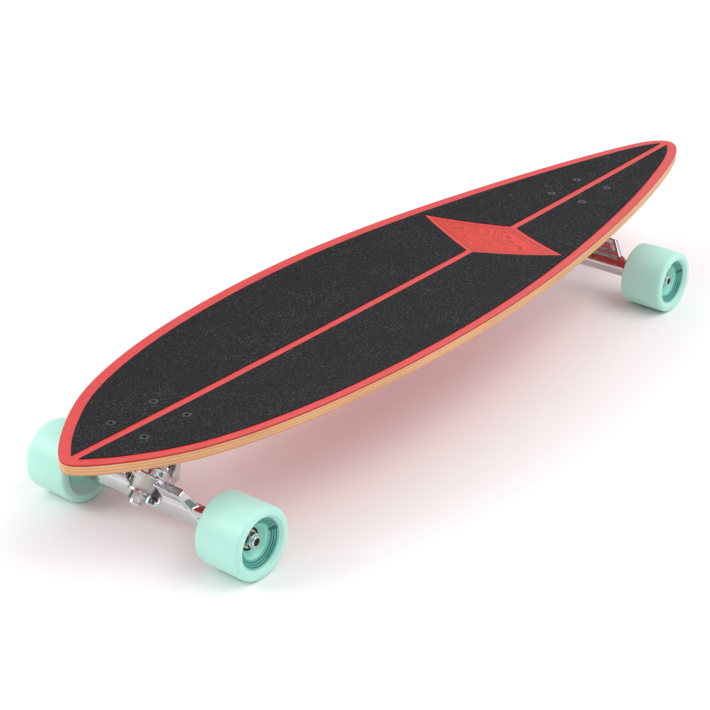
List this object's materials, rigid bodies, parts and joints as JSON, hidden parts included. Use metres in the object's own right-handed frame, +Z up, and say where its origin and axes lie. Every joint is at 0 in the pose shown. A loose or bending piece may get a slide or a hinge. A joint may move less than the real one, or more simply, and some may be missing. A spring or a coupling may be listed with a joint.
{
  "type": "longboard skateboard",
  "caption": "Pintail longboard with a concave laminated deck, split grip tape, two reverse-kingpin trucks that lean and steer, and four free-rolling urethane wheels.",
  "frame": {"origin": "on the floor under the middle of the deck's box", "axes": "+X to the nose along the board, +Y to the rider's left, +Z up"},
  "size_m": [1.02, 0.266, 0.1218],
  "materials": {
    "red_veneer": "red-stained veneer under satin lacquer",
    "light_maple": "sanded maple ply edge, light",
    "dark_maple": "sanded maple ply edge, dark",
    "grip_tape": "black abrasive grit",
    "black_steel": "black oxide screws",
    "zinc_steel": "bright zinc plate",
    "polished_alloy": "mirror-polished cast aluminium",
    "bushing_urethane": "white urethane",
    "bearing_steel": "ground bearing steel",
    "bearing_shield": "pressed shield with a pale gold tint",
    "mint_urethane": "mint urethane, satin",
    "core_plastic": "mint moulded hub"
  },
  "bodies": {
    "deck": {"top_veneer": "red_veneer", "maple_ply_2": "light_maple", "maple_ply_3": "dark_maple", "maple_ply_4": "light_maple", "maple_ply_5": "dark_maple", "maple_ply_6": "light_maple", "bottom_veneer": "red_veneer", "grip_tape_left": "grip_tape", "grip_tape_right": "grip_tape", "mounting_bolts": "black_steel", "mounting_nuts": "zinc_steel", "front_baseplate": "polished_alloy", "front_pivot_cup": "bushing_urethane", "front_kingpin": "zinc_steel", "front_kingpin_nut": "zinc_steel", "front_boardside_bushing": "bushing_urethane", "front_roadside_bushing": "bushing_urethane", "front_boardside_washer": "zinc_steel", "front_roadside_washer": "zinc_steel", "rear_baseplate": "polished_alloy", "rear_pivot_cup": "bushing_urethane", "rear_kingpin": "zinc_steel", "rear_kingpin_nut": "zinc_steel", "rear_boardside_bushing": "bushing_urethane", "rear_roadside_bushing": "bushing_urethane", "rear_boardside_washer": "zinc_steel", "rear_roadside_washer": "zinc_steel"},
    "front_hanger": {"front_hanger": "polished_alloy", "front_axle": "zinc_steel", "front_axle_nuts": "zinc_steel", "front_speed_rings": "zinc_steel", "front_bearing_spacers": "zinc_steel", "front_bearing_inner_races": "bearing_steel"},
    "front_left_wheel": {"front_left_wheel_tyre": "mint_urethane", "front_left_wheel_core": "core_plastic", "front_left_bearing_outer_races": "black_steel", "front_left_bearing_shields": "bearing_shield", "front_left_bearing_balls": "bearing_steel"},
    "front_right_wheel": {"front_right_wheel_tyre": "mint_urethane", "front_right_wheel_core": "core_plastic", "front_right_bearing_outer_races": "black_steel", "front_right_bearing_shields": "bearing_shield", "front_right_bearing_balls": "bearing_steel"},
    "rear_hanger": {"rear_hanger": "polished_alloy", "rear_axle": "zinc_steel", "rear_axle_nuts": "zinc_steel", "rear_speed_rings": "zinc_steel", "rear_bearing_spacers": "zinc_steel", "rear_bearing_inner_races": "bearing_steel"},
    "rear_left_wheel": {"rear_left_wheel_tyre": "mint_urethane", "rear_left_wheel_core": "core_plastic", "rear_left_bearing_outer_races": "black_steel", "rear_left_bearing_shields": "bearing_shield", "rear_left_bearing_balls": "bearing_steel"},
    "rear_right_wheel": {"rear_right_wheel_tyre": "mint_urethane", "rear_right_wheel_core": "core_plastic", "rear_right_bearing_outer_races": "black_steel", "rear_right_bearing_shields": "bearing_shield", "rear_right_bearing_balls": "bearing_steel"}
  },
  "joints": [
    {"name": "front_steer", "type": "hinge", "parent": "deck", "child": "front_hanger", "pos_m": [0.40825, 0, 0.061], "axis": [0.7193, 0, 0.6947], "range_deg": [-18, 18], "stiffness_Nm_per_rad": 60, "deforming": ["front_boardside_bushing", "front_roadside_bushing"]},
    {"name": "front_left_wheel_spin", "type": "hinge", "parent": "front_hanger", "child": "front_left_wheel", "pos_m": [0.40675, 0.105, 0.035], "axis": [0, 1, 0], "continuous": true},
    {"name": "front_right_wheel_spin", "type": "hinge", "parent": "front_hanger", "child": "front_right_wheel", "pos_m": [0.40675, -0.105, 0.035], "axis": [0, 1, 0], "continuous": true},
    {"name": "rear_steer", "type": "hinge", "parent": "deck", "child": "rear_hanger", "pos_m": [-0.30625, 0, 0.061], "axis": [-0.7193, 0, 0.6947], "range_deg": [-18, 18], "stiffness_Nm_per_rad": 60, "deforming": ["rear_boardside_bushing", "rear_roadside_bushing"]},
    {"name": "rear_left_wheel_spin", "type": "hinge", "parent": "rear_hanger", "child": "rear_left_wheel", "pos_m": [-0.30475, 0.105, 0.035], "axis": [0, 1, 0], "continuous": true},
    {"name": "rear_right_wheel_spin", "type": "hinge", "parent": "rear_hanger", "child": "rear_right_wheel", "pos_m": [-0.30475, -0.105, 0.035], "axis": [0, 1, 0], "continuous": true}
  ]
}
